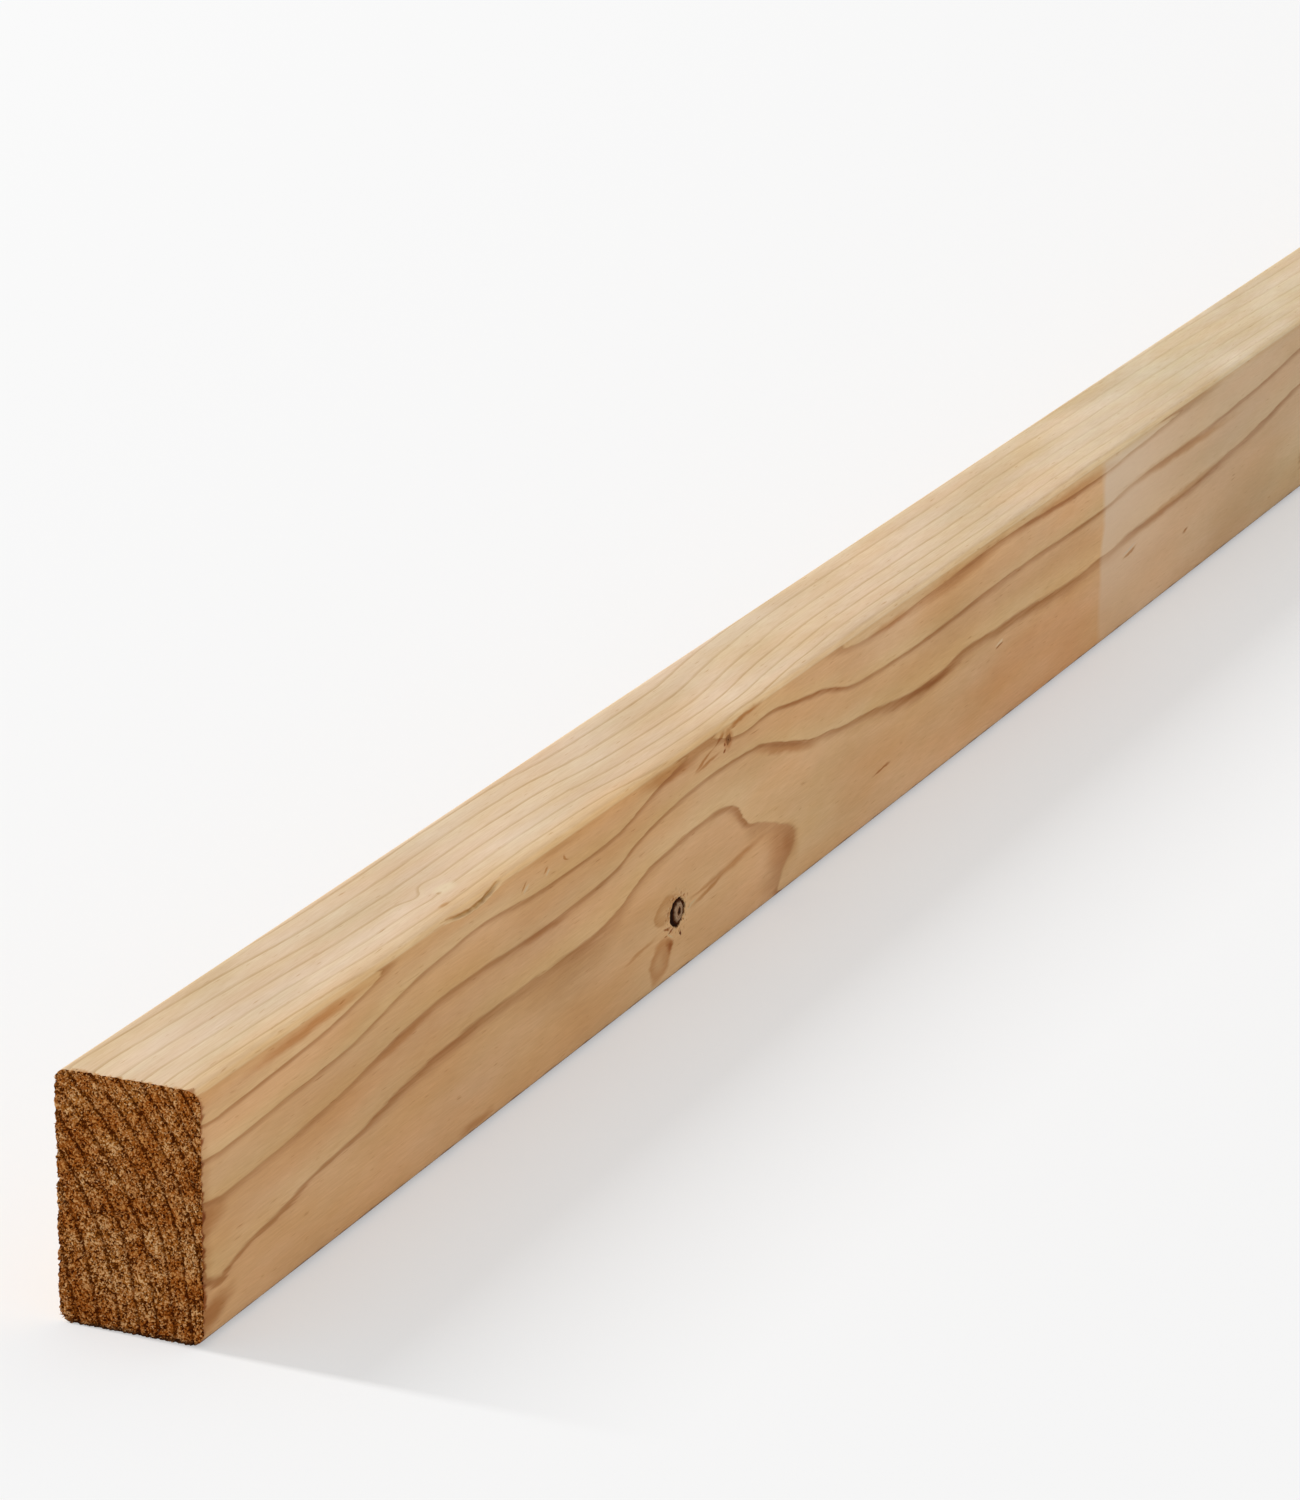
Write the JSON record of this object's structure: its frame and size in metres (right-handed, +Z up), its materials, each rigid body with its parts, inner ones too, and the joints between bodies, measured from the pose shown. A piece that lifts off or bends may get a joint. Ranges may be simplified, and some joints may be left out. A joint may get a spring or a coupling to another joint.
{
  "type": "timber plank",
  "caption": "Planed softwood plank of rectangular section with rounded long edges and square rough-sawn ends, for framing and carcassing.",
  "frame": {"origin": "centre of the narrow edge that the plank lies on, halfway between the sawn ends", "axes": "+X along the length, away from the sawn end that the picture shows; -Y out of the wide face that the picture shows; +Z up, out of the upper narrow edge"},
  "size_m": [2.4, 0.038, 0.063],
  "materials": {
    "timber": "planed softwood faces with growth rings and small knots, rough-sawn end grain"
  },
  "bodies": {
    "root": {"plank": "timber"}
  },
  "joints": []
}
